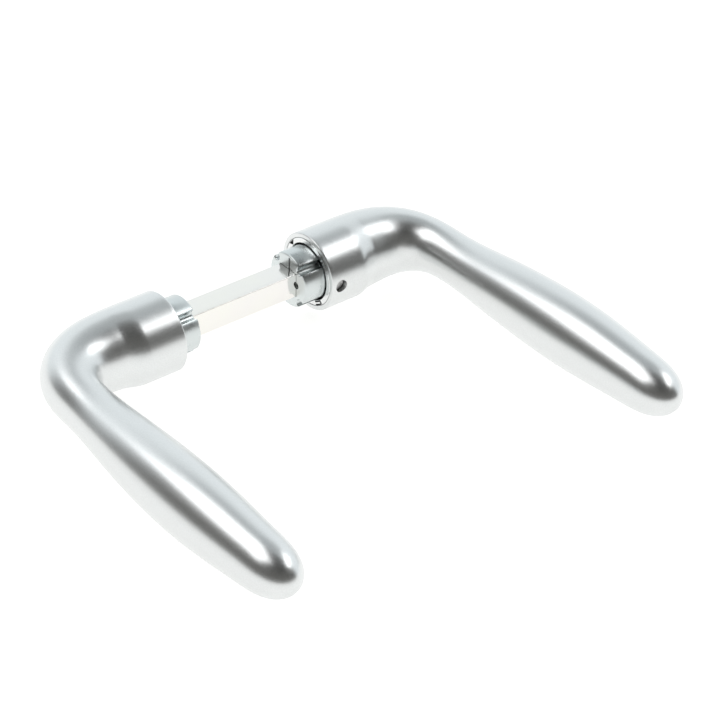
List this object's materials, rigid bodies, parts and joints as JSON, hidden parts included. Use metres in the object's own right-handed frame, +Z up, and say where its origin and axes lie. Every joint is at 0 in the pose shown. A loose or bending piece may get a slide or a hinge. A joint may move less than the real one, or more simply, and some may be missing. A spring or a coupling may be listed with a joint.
{
  "type": "door lever handle",
  "caption": "Pair of rounded satin aluminium lever handles on a square steel spindle, with lobed collars and sprung marker rings behind the levers.",
  "frame": {"origin": "middle of the spindle's free length, on its axis, where the lock's follower sits", "axes": "+X along the spindle towards the loose (grub-screw) lever, grips along -Y, +Z up"},
  "size_m": [0.1564, 0.1304, 0.025],
  "materials": {
    "satin_aluminium": "satin anodised",
    "zinc_steel": "bright zinc plate",
    "cast_zinc": "zinc plated die casting",
    "ring_steel": "zinc plate",
    "spring_steel": "oiled",
    "screw_steel": "zinc plate"
  },
  "bodies": {
    "left_lever": {"lever_left": "satin_aluminium", "collar_left": "cast_zinc", "snap_ring_left": "spring_steel", "return_spring_left": "spring_steel", "spindle": "zinc_steel", "spindle_pin": "spring_steel"},
    "left_ring": {"marker_ring_left": "ring_steel"},
    "right_lever": {"lever_right": "satin_aluminium", "collar_right": "cast_zinc", "snap_ring_right": "spring_steel", "return_spring_right": "spring_steel", "anti_rattle_wire": "spring_steel"},
    "right_ring": {"marker_ring_right": "ring_steel"},
    "clamp_screw": {"grub_screw": "screw_steel"}
  },
  "joints": [
    {"name": "left_ring_turn", "type": "hinge", "parent": "left_lever", "child": "left_ring", "pos_m": [-0.0265, 0, 0], "axis": [1, 0, 0], "range_deg": [-45, 45], "stiffness_Nm_per_rad": 0.02, "deforming": ["return_spring_left"]},
    {"name": "lever_slide", "type": "slide", "parent": "left_lever", "child": "right_lever", "axis": [1, 0, 0], "range_m": [-0.004, 0.008]},
    {"name": "right_ring_turn", "type": "hinge", "parent": "right_lever", "child": "right_ring", "pos_m": [0.0265, 0, 0], "axis": [1, 0, 0], "range_deg": [-45, 45], "stiffness_Nm_per_rad": 0.02, "deforming": ["return_spring_right"]},
    {"name": "grub_screw_travel", "type": "slide", "parent": "right_lever", "child": "clamp_screw", "axis": [0, -1, 0], "range_m": [0, 0.003]}
  ]
}
